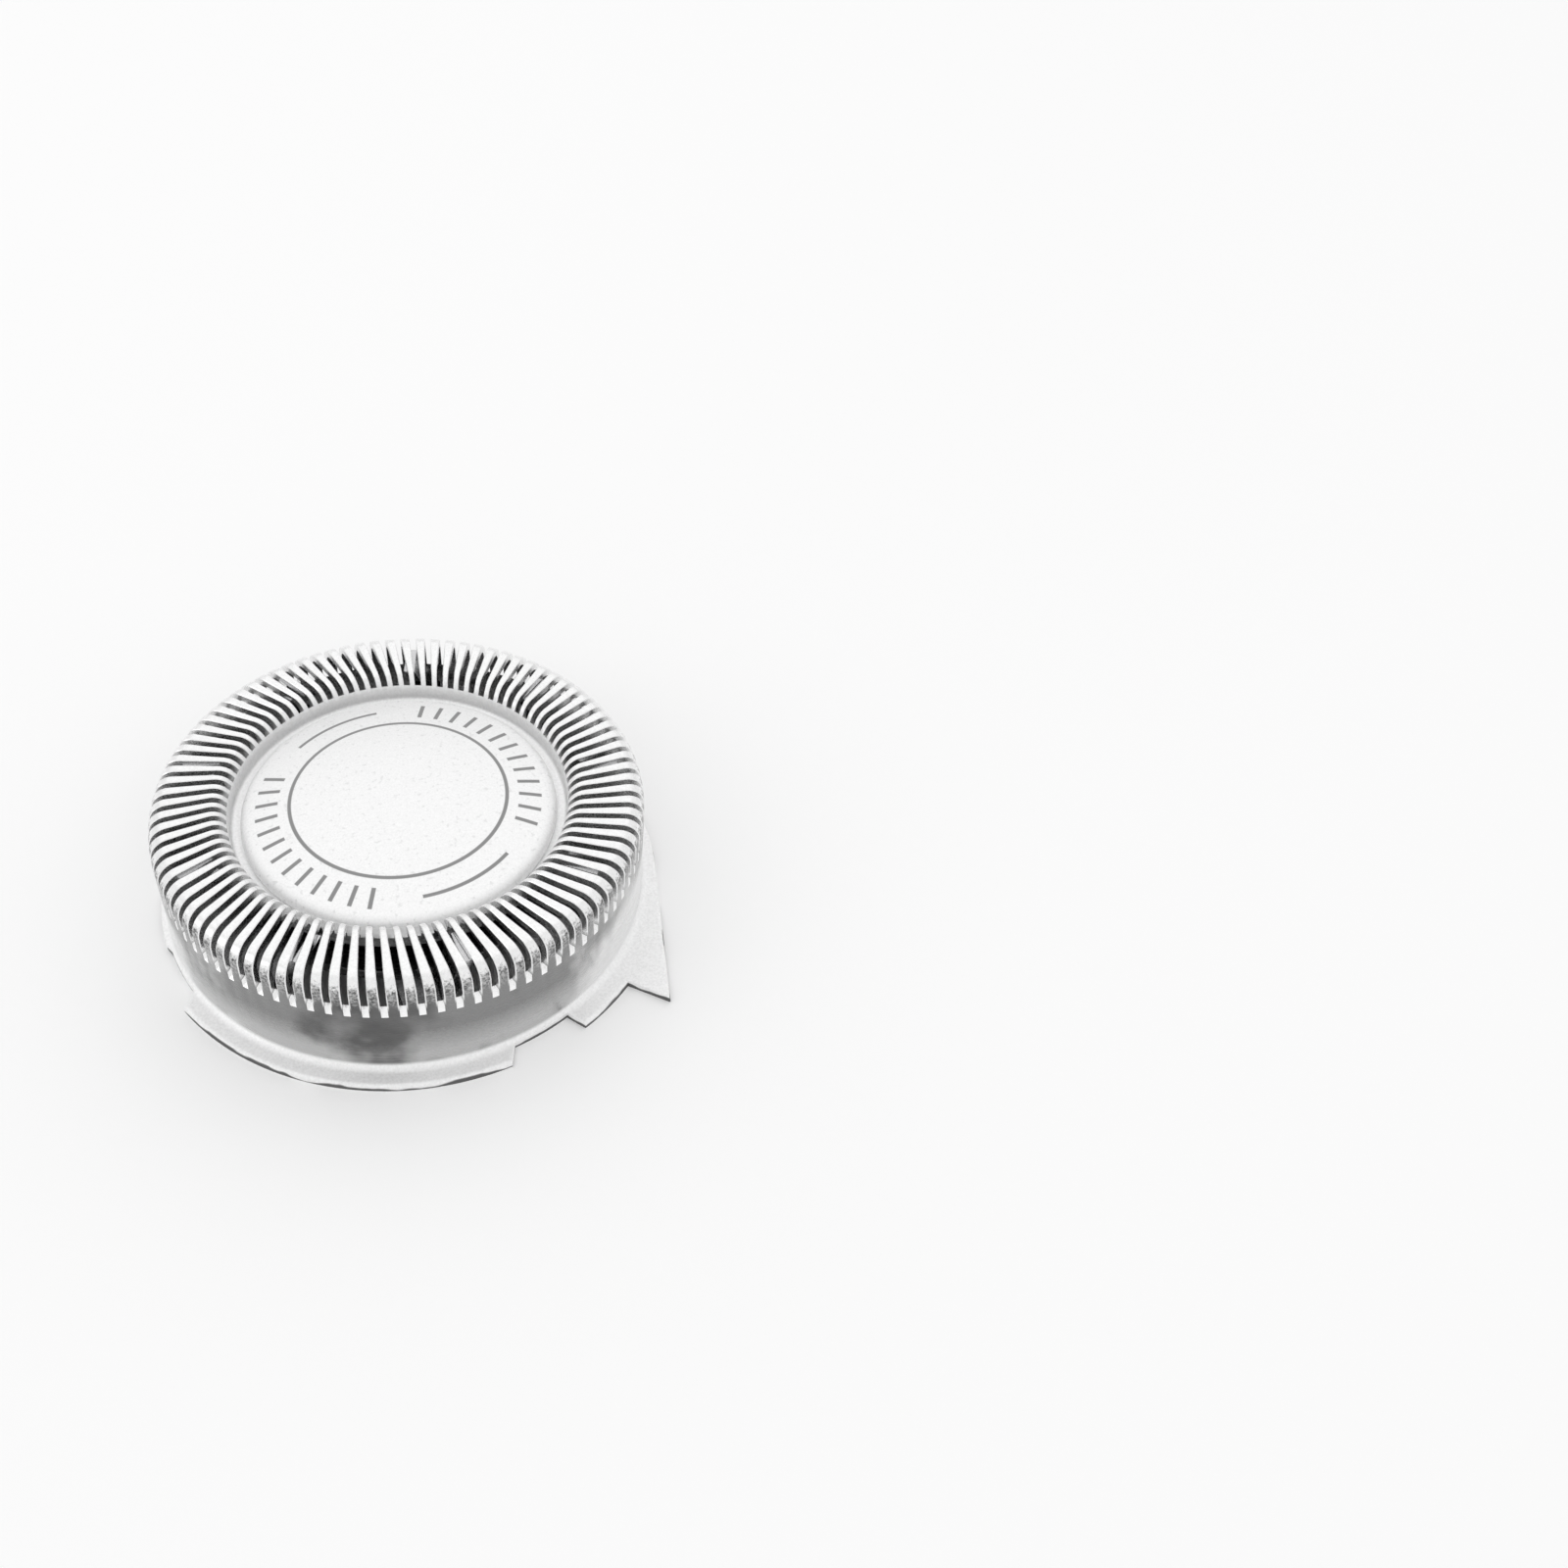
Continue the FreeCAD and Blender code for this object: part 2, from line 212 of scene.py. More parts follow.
def slat_rows(mesh, line, first, last, broken, flip):
    """Rows of a slat between the rows at its two ends, with its long edges broken or sharp."""
    rows = [first[:4]]
    normals = surface_normals(line)
    for point, normal in list(zip(line, normals))[1:-1]:
        columns = pitch_columns(point[0])[:4]
        row = pitch_row(mesh, point, columns)
        if broken:
            lowered = (point[0] - normal.x * edge_break, point[1] - normal.y * edge_break)
            for side in (0, 3):
                row[side].co = placed(lowered[0], columns[side], lowered[1])
        rows.append(row)
    rows.append(last[:4])
    for near, far in zip(rows, rows[1:]):
        fill(mesh, near, far, flip)
    return rows


# %% [markdown]
# The rows are now joined into one pitch. The slot's side walls and its two sloped ends close the
# gap between the face and the back.

# %% Build one pitch
def build_pitch():
    """One slat, the slot beside it, and their share of the recess wall and the side wall."""
    mesh = bmesh.new()
    face_in = full_rows(mesh, face_cup, False)
    back_in = full_rows(mesh, back_cup, True)
    face_out = full_rows(mesh, face_skirt, False)
    back_out = full_rows(mesh, back_skirt, True, wall_radius)
    fill(mesh, back_in[0], face_in[0], False)
    face_mid = slat_rows(mesh, face_crown, face_in[-1], face_out[0], True, False)
    back_mid = slat_rows(mesh, back_crown, back_in[-1], back_out[0], False, True)
    for side, flip in ((0, False), (3, True)):
        fill(mesh, [row[side] for row in face_mid], [row[side] for row in back_mid], flip)
    fill(mesh, face_in[-1][3:], back_in[-1][3:], True)
    fill(mesh, face_out[0][3:], back_out[0][3:], False)
    data = bpy.data.meshes.new("crown_pitch")
    mesh.to_mesh(data)
    mesh.free()
    return data


pitch_mesh = build_pitch()
print("faces in one pitch:", len(pitch_mesh.polygons))


# %% [markdown]
# ## Repeating it with Geometry Nodes
#
# An array modifier could repeat the pitch too, but a node tree keeps the count, the weld
# distance and the finish as named inputs. It puts a point on the axis for each slat, turns an
# instance of the pitch at each, makes them real, welds the seams and sets the material.

# %% A node tree that repeats a piece about the axis
def ring_tree():
    """A Geometry Nodes tree that repeats its input about the Z axis."""
    tree = bpy.data.node_groups.new("repeat_about_axis", "GeometryNodeTree")
    face = tree.interface
    face.new_socket("Geometry", in_out="INPUT", socket_type="NodeSocketGeometry")
    face.new_socket("Count", in_out="INPUT", socket_type="NodeSocketInt")
    face.new_socket("Weld distance", in_out="INPUT", socket_type="NodeSocketFloat")
    face.new_socket("Finish", in_out="INPUT", socket_type="NodeSocketMaterial")
    face.new_socket("Geometry", in_out="OUTPUT", socket_type="NodeSocketGeometry")
    make, link = tree.nodes.new, tree.links.new
    given = make("NodeGroupInput")
    points = make("GeometryNodePoints")
    index = make("GeometryNodeInputIndex")
    share = make("ShaderNodeMath")
    share.operation = "DIVIDE"
    angle = make("ShaderNodeMath")
    angle.operation = "MULTIPLY"
    angle.inputs[1].default_value = math.tau
    about_z = make("ShaderNodeCombineXYZ")
    turn = make("FunctionNodeEulerToRotation")
    copies = make("GeometryNodeInstanceOnPoints")
    real = make("GeometryNodeRealizeInstances")
    weld = make("GeometryNodeMergeByDistance")
    finish = make("GeometryNodeSetMaterial")
    result = make("NodeGroupOutput")
    link(given.outputs["Count"], points.inputs["Count"])
    link(index.outputs[0], share.inputs[0])
    link(given.outputs["Count"], share.inputs[1])
    link(share.outputs[0], angle.inputs[0])
    link(angle.outputs[0], about_z.inputs["Z"])
    link(about_z.outputs[0], turn.inputs[0])
    link(points.outputs[0], copies.inputs["Points"])
    link(given.outputs["Geometry"], copies.inputs["Instance"])
    link(turn.outputs[0], copies.inputs["Rotation"])
    link(given.outputs["Weld distance"], weld.inputs["Distance"])
    link(copies.outputs[0], real.inputs["Geometry"])
    link(real.outputs[0], weld.inputs["Geometry"])
    link(weld.outputs[0], finish.inputs["Geometry"])
    link(given.outputs["Finish"], finish.inputs["Material"])
    link(finish.outputs[0], result.inputs[0])
    return tree


def repeated(data, count, finish, name):
    """A plain mesh of copies of a mesh about the Z axis."""
    carrier = bpy.data.objects.new(name, data)
    bpy.context.scene.collection.objects.link(carrier)
    modifier = carrier.modifiers.new("ring", "NODES")
    modifier.node_group = repeat_about_axis
    values = {"Count": count, "Weld distance": 0.002 * MM, "Finish": finish}
    for item in repeat_about_axis.interface.items_tree:
        if item.item_type == "SOCKET" and item.in_out == "INPUT" and item.name in values:
            modifier[item.identifier] = values[item.name]
    depsgraph = bpy.context.evaluated_depsgraph_get()
    result = bpy.data.meshes.new_from_object(carrier.evaluated_get(depsgraph))
    carrier.modifiers.remove(modifier)
    bpy.data.objects.remove(carrier)
    result.name = name
    return result


repeat_about_axis = ring_tree()
print("nodes in the tree:", len(repeat_about_axis.nodes))


# %% [markdown]
# ## Helpers for shader trees
#
# A shader tree that is written out node by node is hard to read. Each of these helpers makes
# one kind of node and takes numbers or sockets, so that a mask reads like a sum. Places on a
# piece are turned into a radius and an azimuth, because the head is round.

# %% Shader helpers
def set_inputs(tree, node, values):
    """Gives a node's inputs their values, which are numbers or sockets."""
    for socket, value in zip(node.inputs, values):
        if isinstance(value, (int, float)):
            socket.default_value = value
        else:
            tree.links.new(value, socket)


def maths(tree, operation, *values):
    """A Math node on numbers or sockets."""
    node = tree.nodes.new("ShaderNodeMath")
    node.operation = operation
    set_inputs(tree, node, values)
    return node.outputs[0]


def product(tree, *values):
    """The product of numbers and sockets."""
    result = values[0]
    for value in values[1:]:
        result = maths(tree, "MULTIPLY", result, value)
    return result


def largest(tree, *values):
    """The largest of numbers and sockets."""
    result = values[0]
    for value in values[1:]:
        result = maths(tree, "MAXIMUM", result, value)
    return result


def polar_place(tree, place):
    """The x, y, z, radius and azimuth of a place, all but the azimuth in millimetres."""
    scaled = tree.nodes.new("ShaderNodeVectorMath")
    scaled.operation = "SCALE"
    scaled.inputs["Scale"].default_value = 1000.0
    tree.links.new(place, scaled.inputs[0])
    split = tree.nodes.new("ShaderNodeSeparateXYZ")
    tree.links.new(scaled.outputs[0], split.inputs[0])
    x, y, z = split.outputs
    radius = maths(tree, "SQRT", maths(tree, "ADD", product(tree, x, x), product(tree, y, y)))
    azimuth = maths(tree, "ARCTAN2", y, x)
    return x, y, z, radius, azimuth


def combined(tree, *values):
    """A vector made of three numbers or sockets."""
    node = tree.nodes.new("ShaderNodeCombineXYZ")
    set_inputs(tree, node, values)
    return node.outputs[0]


def noise(tree, vector, scale, detail=2.0, roughness=0.5):
    """The value of a noise texture."""
    node = tree.nodes.new("ShaderNodeTexNoise")
    node.inputs["Scale"].default_value = scale
    node.inputs["Detail"].default_value = detail
    node.inputs["Roughness"].default_value = roughness
    tree.links.new(vector, node.inputs["Vector"])
    return node.outputs["Fac"]


def ramp(tree, value, low, high, to_low=0.0, to_high=1.0):
    """A value moved from one range to another, and kept within it."""
    node = tree.nodes.new("ShaderNodeMapRange")
    tree.links.new(value, node.inputs["Value"])
    limits = {"From Min": low, "From Max": high, "To Min": to_low, "To Max": to_high}
    for label, number in limits.items():
        node.inputs[label].default_value = number
    return node.outputs["Result"]


# %% [markdown]
# ## Shader groups that several finishes share
#
# Steel that was turned on a lathe has fine rings round the axis, and drawn steel has lines
# along the draw. A picture of rings would need a UV map and would show its seam. A shader group
# works them out from the radius and the height instead. It reads Object coordinates, so the
# rings stay on the piece from every side, and each finish sets its own number of lines.

# %% Turned rings
def shader_group(name, inputs, outputs):
    """An empty shader node group with named sockets, and its two end nodes."""
    group = bpy.data.node_groups.new(name, "ShaderNodeTree")
    for label, kind, value in inputs:
        socket = group.interface.new_socket(label, in_out="INPUT", socket_type=kind)
        if value is not None:
            socket.default_value = value
    for label, kind in outputs:
        group.interface.new_socket(label, in_out="OUTPUT", socket_type=kind)
    return group, group.nodes.new("NodeGroupInput"), group.nodes.new("NodeGroupOutput")


def turned_rings_group():
    """Fine rings about the axis, with slow changes along each ring."""
    group, given, result = shader_group(
        "turned_rings",
        [("Place", "NodeSocketVector", None), ("Lines per mm", "NodeSocketFloat", 12.0),
         ("Drift", "NodeSocketFloat", 0.35)],
        [("Lines", "NodeSocketFloat"), ("Clouds", "NodeSocketFloat")],
    )
    x, y, z, radius, azimuth = polar_place(group, given.outputs["Place"])
    lines = given.outputs["Lines per mm"]
    drift = given.outputs["Drift"]
    along = product(group, maths(group, "SINE", azimuth), product(group, drift, 10.0))
    ringed = combined(group, product(group, radius, lines), product(group, z, lines), along)
    drifted = combined(group, *(product(group, value, drift) for value in (x, y, z)))
    fine = noise(group, ringed, 1.0, 3.0, 0.6)
    slow = noise(group, drifted, 1.0, 3.0, 0.55)
    group.links.new(fine, result.inputs["Lines"])
    group.links.new(slow, result.inputs["Clouds"])
    return group


turned_rings = turned_rings_group()
print("ring nodes:", len(turned_rings.nodes))


# %% [markdown]
# Ground steel and moulded plastic both have a fine grain, and the disc's satin steel has sparse
# specks as well. A second group puts both out as plain values, which each finish uses in its
# own way.

# %% Fine grain
def fine_grain_group():
    """A fine grain in all directions, and sparse specks."""
    group, given, result = shader_group(
        "fine_grain",
        [("Place", "NodeSocketVector", None), ("Grains per mm", "NodeSocketFloat", 9.0)],
        [("Grain", "NodeSocketFloat"), ("Specks", "NodeSocketFloat")],
    )
    x, y, z, radius, azimuth = polar_place(group, given.outputs["Place"])
    scale = given.outputs["Grains per mm"]
    place = combined(group, *(product(group, value, scale) for value in (x, y, z)))
    grain = noise(group, place, 1.0, 3.0, 0.65)
    coarse = noise(group, place, 0.42, 1.0, 0.5)
    group.links.new(grain, result.inputs["Grain"])
    group.links.new(ramp(group, coarse, 0.62, 0.74), result.inputs["Specks"])
    return group


fine_grain = fine_grain_group()
print("grain nodes:", len(fine_grain.nodes))


# %% [markdown]
# ## Starting a material
#
# Every finish begins the same way: a Principled shader, Object coordinates and the values that
# are the same all over, which are set on the shader's own sockets.

# %% Material helpers
def new_finish(name, **constants):
    """A material with a Principled shader, its tree and its Object coordinates."""
    finish = bpy.data.materials.new(name)
    finish.use_nodes = True
    tree = finish.node_tree
    shader = tree.nodes["Principled BSDF"]
    for label, value in constants.items():
        shader.inputs[label.replace("_", " ")].default_value = value
    place = tree.nodes.new("ShaderNodeTexCoord").outputs["Object"]
    return finish, tree, shader, place


def use_group(tree, group, place, **values):
    """A node of a shared group, with its own values."""
    node = tree.nodes.new("ShaderNodeGroup")
    node.node_tree = group
    tree.links.new(place, node.inputs["Place"])
    for label, value in values.items():
        node.inputs[label.replace("_", " ")].default_value = value
    return node


def blend_colours(tree, factor, first, second):
    """A colour between two, each given as a grey value, a colour or a socket."""
    node = tree.nodes.new("ShaderNodeMix")
    node.data_type = "RGBA"
    tree.links.new(factor, node.inputs["Factor"])
    for label, value in (("A", first), ("B", second)):
        socket = [s for s in node.inputs if s.name == label and s.type == "RGBA"][0]
        if isinstance(value, bpy.types.NodeSocket):
            tree.links.new(value, socket)
        elif isinstance(value, float):
            socket.default_value = (value, value, value, 1.0)
        else:
            socket.default_value = (*value, 1.0)
    return [s for s in node.outputs if s.type == "RGBA"][0]


def relief(tree, shader, height, strength, distance):
    """A Bump node on the shader's normal."""
    node = tree.nodes.new("ShaderNodeBump")
    node.inputs["Strength"].default_value = strength
    node.inputs["Distance"].default_value = distance * MM
    tree.links.new(height, node.inputs["Height"])
    tree.links.new(node.outputs[0], shader.inputs["Normal"])


# %% [markdown]
# ## Ground and drawn steel on one sheet
#
# The guard's face is ground and lapped until it is bright, down over the shoulder. Below that the
# slats carry a painted mottled reflection, with painted highlight lines along their broken edges,
# and the slots' sloped ends get a painted white highlight. The side wall is painted dark and pale
# as reflection and shade, and the flange at its foot is bright again. The changes are masks on
# height, radius and the distance from a slot, made ragged by noise.
#
# The first helper finds the places beside the slots, where highlights are painted, and at their
# ends.

# %% Masks beside the slots
degree = math.pi / 180.0
highlight_reach = slot_width / 2 + 0.035
highlight_fade = 0.04
skin = 0.012


def slot_masks(tree, z, radius, degrees):
    """Masks for the painted highlights along the slots' edges and on their sloped outer ends."""
    clear_radius = maths(tree, "MAXIMUM", radius, 2.0)
    skew = maths(tree, "ARCSINE", maths(tree, "DIVIDE", slot_offset, clear_radius))
    turned = maths(tree, "SUBTRACT", degrees, slot_azimuth)
    turned = maths(tree, "ADD", turned, product(tree, skew, 1.0 / degree))
    turned = maths(tree, "WRAP", turned, slot_pitch / 2, -slot_pitch / 2)
    beside = product(tree, maths(tree, "ABSOLUTE", turned), degree, radius)
    painted_edge_highlight = ramp(tree, beside, highlight_reach + highlight_fade, highlight_reach)
    above_end = ramp(tree, z, back_end[1] + 0.05, back_end[1] + 0.35)
    cut_end_highlight = product(
        tree,
        maths(tree, "LESS_THAN", radius, wall_radius - skin),
        maths(tree, "GREATER_THAN", radius, wall_radius - sheet + skin),
        maths(tree, "LESS_THAN", z, back_end[1] + 0.06),
        maths(tree, "GREATER_THAN", z, slot_end[1] - 0.01),
    )
    return product(tree, painted_edge_highlight, above_end), cut_end_highlight


# %% [markdown]
# The wall's tone is painted reflection and shade. It is dark in front, pale at both sides and grey
# behind, with clouds in it, a few fine lines near the foot, and a painted mottled reflection on the
# band between the slots. The inside of the cup is kept out of this painted tone and stays plain
# pale steel.

# %% Painted reflection on the wall
# The azimuth of the front, where the wall's painted reflection is darkest.
dark_reflection_azimuth = -96.0
cloud_drift = 70.0


def painted_wall_reflection(tree, z, radius, degrees, ragged, rings, grain):
    """Painted reflection and shade as the tone of the wall and of the slats between the slots."""
    clouds, lines = rings.outputs["Clouds"], rings.outputs["Lines"]
    drifting = product(tree, maths(tree, "SUBTRACT", clouds, 0.5), cloud_drift)
    from_dark_reflection = maths(tree, "SUBTRACT", degrees, dark_reflection_azimuth)
    from_dark_reflection = maths(tree, "WRAP", from_dark_reflection, 180.0, -180.0)
    from_dark_reflection = maths(tree, "ADD", maths(tree, "ABSOLUTE", from_dark_reflection), drifting)
    dark = blend_colours(tree, ramp(tree, clouds, 0.35, 0.65), 0.12, 0.21)
    foot = blend_colours(tree, ramp(tree, lines, 0.3, 0.7), 0.16, 0.3)
    dark = blend_colours(tree, ramp(tree, ragged, 2.0, 1.3), dark, foot)
    middle = blend_colours(tree, ramp(tree, ragged, 2.8, 1.2), 0.28, 0.56)
    pale = blend_colours(tree, ramp(tree, clouds, 0.35, 0.6), 0.34, 0.62)
    pale = blend_colours(tree, ramp(tree, ragged, 3.5, 2.5), pale, 0.86)
    back = blend_colours(tree, ramp(tree, clouds, 0.3, 0.7), 0.44, 0.62)
    # A painted mottled reflection on the slats below the shoulder.
    mottled = blend_colours(tree, ramp(tree, grain.outputs["Grain"], 0.35, 0.62), 0.07, 0.55)
    tone = blend_colours(tree, ramp(tree, from_dark_reflection, 3.0, 18.0), dark, middle)
    tone = blend_colours(tree, ramp(tree, from_dark_reflection, 40.0, 60.0), tone, pale)
    tone = blend_colours(tree, ramp(tree, from_dark_reflection, 90.0, 145.0), tone, back)
    tone = blend_colours(tree, ramp(tree, ragged, 4.5, 5.1), tone, mottled)
    inside = product(
        tree,
        maths(tree, "LESS_THAN", radius, wall_radius - sheet + 0.02),
        maths(tree, "GREATER_THAN", radius, recess_radius + 1.0),
        ramp(tree, z, 5.6, 5.4),
    )
    return blend_colours(tree, inside, tone, 0.85)


# %% [markdown]
# The lower part of the flange's rim is painted dark as the shadow beneath it. A mask on the true
# normal keeps that painted shade off the flat top and underside.

# %% Guard steel
def painted_rim_shade(tree, z, clouds):
    """Painted shade on the lower part of upright faces at the flange's foot, uneven along the rim.
    """
    split = tree.nodes.new("ShaderNodeSeparateXYZ")
    normal = tree.nodes.new("ShaderNodeNewGeometry").outputs["True Normal"]
    tree.links.new(normal, split.inputs[0])
    upright = maths(tree, "LESS_THAN", maths(tree, "ABSOLUTE", split.outputs["Z"]), 0.7)
    raised = maths(tree, "ADD", z, ramp(tree, clouds, 0.4, 0.6, 0.14, -0.04))
    return product(tree, ramp(tree, raised, 0.26, 0.2), upright)


def guard_steel():
    """Bright ground crown and flange, with painted reflection and shade on the slats and the wall.
    """
    finish, tree, shader, place = new_finish("guard_steel", Anisotropic=0.3)
    rings = use_group(tree, turned_rings, place, Lines_per_mm=14.0, Drift=0.3)
    grain = use_group(tree, fine_grain, place, Grains_per_mm=8.0)
    x, y, z, radius, azimuth = polar_place(tree, place)
    degrees = product(tree, azimuth, 1.0 / degree)
    uneven = maths(tree, "SUBTRACT", grain.outputs["Grain"], 0.5)
    ragged = maths(tree, "ADD", z, product(tree, uneven, 0.7))
    above = ramp(tree, ragged, head_height - 0.62, head_height - 0.34)
    below = ramp(tree, z, 0.66, 0.52)
    within = ramp(tree, radius, recess_radius + 1.2, recess_radius + 0.6)
    # Highlights are painted along the slats' edges and on the slots' sloped ends.
    painted_edge_highlight, cut_end_highlight = slot_masks(tree, z, radius, degrees)
    bright = largest(tree, above, below, within, painted_edge_highlight, cut_end_highlight)

    speckled = ramp(tree, grain.outputs["Grain"], 0.3, 0.7)
    bright_tone = blend_colours(tree, speckled, 0.84, 0.96)
    # The slots' sloped ends are painted pure white as a highlight.
    bright_tone = blend_colours(tree, cut_end_highlight, bright_tone, 1.0)
    flange_tone = blend_colours(tree, speckled, 0.86, 1.0)
    bright_tone = blend_colours(tree, below, bright_tone, flange_tone)
    # The wall and the lower slats take painted reflection and shade as their tone.
    painted_wall_tone = painted_wall_reflection(tree, z, radius, degrees, ragged, rings, grain)
    tone = blend_colours(tree, bright, painted_wall_tone, bright_tone)
    # The foot of the flange's rim is painted dark as shade.
    tone = blend_colours(tree, painted_rim_shade(tree, z, rings.outputs["Clouds"]), tone, 0.13)
    tree.links.new(tone, shader.inputs["Base Color"])

    rough = ramp(tree, rings.outputs["Lines"], 0.3, 0.7, 0.2, 0.36)
    recess = ramp(tree, radius, recess_radius + 0.35, recess_radius + 0.1, 0.0, 0.25)
    flange = ramp(tree, z, 0.6, 0.4, 0.0, 0.35)
    rough = maths(tree, "ADD", rough, maths(tree, "MAXIMUM", recess, flange))
    tree.links.new(rough, shader.inputs["Roughness"])
    tree.links.new(ramp(tree, z, 0.6, 0.4, 1.0, 0.55), shader.inputs["Metallic"])
    relief(tree, shader, rings.outputs["Lines"], 0.2, 0.004)
    return finish


guard_finish = guard_steel()
print("guard finish nodes:", len(guard_finish.node_tree.nodes))


# %% [markdown]
# ## The print on the trim disc
#
# The disc carries a thin grey ring, two short arcs and two bands of marks. The bands are made
# as plain tick marks, like the scale of a dial. All of it is a mask worked out from radius and
# azimuth, so it stays sharp at any size, and the ink covers the steel with a matt grey.

# %% Disc steel with its print
ring_radius = 5.0
ring_width = 0.17
arc_radius = 6.12
arc_spans = ((95.5, 136.0), (-85.0, -42.7))
tick_spans = ((-22.5, 75.0), (158.0, 254.0))
tick_middle = 6.075
tick_length = 1.05
tick_width = 0.2
tick_steps = 12
soft = 0.02
print("printed ring:", 2 * ring_radius, "mm across, with ticks", tick_length, "mm long round it")


def within_mask(tree, value, centre, half):
    """A mask of the values within a half width of a centre, with a soft border."""
    distance = maths(tree, "ABSOLUTE", maths(tree, "SUBTRACT", value, centre))
    return ramp(tree, distance, half + soft, half - soft)


def printed_lines(tree, z, radius, degrees):
    """A mask of the ring, the arcs and the tick marks."""
    marks = [within_mask(tree, radius, ring_radius, ring_width / 2)]
    for start, end in arc_spans + tick_spans:
        middle, half = (start + end) / 2, (end - start) / 2
        turned = maths(tree, "WRAP", maths(tree, "SUBTRACT", degrees, middle), 180.0, -180.0)
        if (start, end) in arc_spans:
            along = maths(tree, "LESS_THAN", maths(tree, "ABSOLUTE", turned), half)
            arc = within_mask(tree, radius, arc_radius, ring_width / 2)
            marks.append(product(tree, arc, along))
            continue
        step = (end - start) / tick_steps
        nearest = product(tree, maths(tree, "ROUND", maths(tree, "DIVIDE", turned, step)), step)
        from_tick = maths(tree, "ABSOLUTE", maths(tree, "SUBTRACT", turned, nearest))
        line = within_mask(tree, product(tree, from_tick, degree, radius), 0.0, tick_width / 2)
        band = within_mask(tree, radius, tick_middle, tick_length / 2)
        room = maths(tree, "LESS_THAN", maths(tree, "ABSOLUTE", nearest), half + 1.0)
        marks.append(product(tree, line, band, room))
    top_only = maths(tree, "GREATER_THAN", z, head_height - 0.95)
    return product(tree, largest(tree, *marks), top_only)


def disc_steel():
    """Fine satin steel with grey printed lines."""
    finish, tree, shader, place = new_finish("disc_steel", Metallic=1.0)
    grain = use_group(tree, fine_grain, place, Grains_per_mm=11.0)
    x, y, z, radius, azimuth = polar_place(tree, place)
    ink = printed_lines(tree, z, radius, product(tree, azimuth, 1.0 / degree))
    steel = blend_colours(tree, ramp(tree, grain.outputs["Grain"], 0.3, 0.7), 0.84, 0.95)
    steel = blend_colours(tree, grain.outputs["Specks"], steel, 0.78)
    tree.links.new(blend_colours(tree, ink, steel, 0.27), shader.inputs["Base Color"])
    metal = maths(tree, "SUBTRACT", 1.0, product(tree, ink, 0.8))
    tree.links.new(metal, shader.inputs["Metallic"])
    rough = ramp(tree, grain.outputs["Grain"], 0.3, 0.7, 0.3, 0.42)
    rolled = ramp(tree, radius, 6.85, 7.05, 0.0, 0.3)
    rough = maths(tree, "ADD", rough, maths(tree, "MAXIMUM", rolled, product(tree, ink, 0.2)))
    tree.links.new(rough, shader.inputs["Roughness"])
    relief(tree, shader, grain.outputs["Grain"], 0.2, 0.004)
    return finish


disc_finish = disc_steel()
print("disc finish nodes:", len(disc_finish.node_tree.nodes))


# %% [markdown]
# ## Cutter steel and the two plastics
#
# The cutter is ground bright at its tips, and lower down it is painted dark as the shade inside
# the head. The bearing and the hub are moulded plastic, so they get a fine grain and a slight
# change of gloss.

# %% Cutter steel and plastics
def cutter_steel():
    """Ground steel that is bright towards the blade tips and painted dark on the plate as shade."""
    finish, tree, shader, place = new_finish("cutter_steel", Metallic=1.0)
    rings = use_group(tree, turned_rings, place, Lines_per_mm=8.0, Drift=0.5)
    grain = use_group(tree, fine_grain, place, Grains_per_mm=6.0)
    x, y, z, radius, azimuth = polar_place(tree, place)
    tip = ramp(tree, z, 5.3, 5.8)
    speckled = ramp(tree, grain.outputs["Grain"], 0.3, 0.7)
    # The lower cutter is painted dark as the shade inside the head.
    low = blend_colours(tree, speckled, (0.12, 0.12, 0.122), (0.26, 0.26, 0.264))
    tone = blend_colours(tree, tip, low, (0.85, 0.85, 0.86))
    tree.links.new(tone, shader.inputs["Base Color"])
    rough = ramp(tree, rings.outputs["Lines"], 0.3, 0.7, 0.2, 0.38)
    tree.links.new(rough, shader.inputs["Roughness"])
    relief(tree, shader, rings.outputs["Lines"], 0.2, 0.005)
    return finish


def moulded_plastic(name, tone, grains):
    """Smooth moulded plastic with a fine grain."""
    finish, tree, shader, place = new_finish(name, IOR=1.5)
    grain = use_group(tree, fine_grain, place, Grains_per_mm=grains)
    low, high = [tuple(value * share for value in tone) for share in (0.85, 1.2)]
    colour = blend_colours(tree, grain.outputs["Grain"], low, high)
    rough = ramp(tree, grain.outputs["Grain"], 0.3, 0.7, 0.36, 0.52)
    tree.links.new(colour, shader.inputs["Base Color"])
    tree.links.new(rough, shader.inputs["Roughness"])
    relief(tree, shader, grain.outputs["Grain"], 0.25, 0.006)
    return finish


cutter_finish = cutter_steel()
bearing_finish = moulded_plastic("bearing_plastic", (0.16, 0.16, 0.17), 7.0)
hub_finish = moulded_plastic("hub_plastic", (0.1, 0.1, 0.11), 5.0)
print("finishes:", ", ".join(sorted(material.name for material in bpy.data.materials)))


# %% [markdown]
# ## The flange's outline
#
# The flange isn't round: it has a wide front, two notches, a narrow rear, and a lobe with a
# straight edge that keys the head in its holder. A Boolean could cut that outline out of a
# plate, but the rim couldn't be rounded in step with it. So the outline is a list of stretches,
# and a ray from the axis at any azimuth finds how far it reaches there.

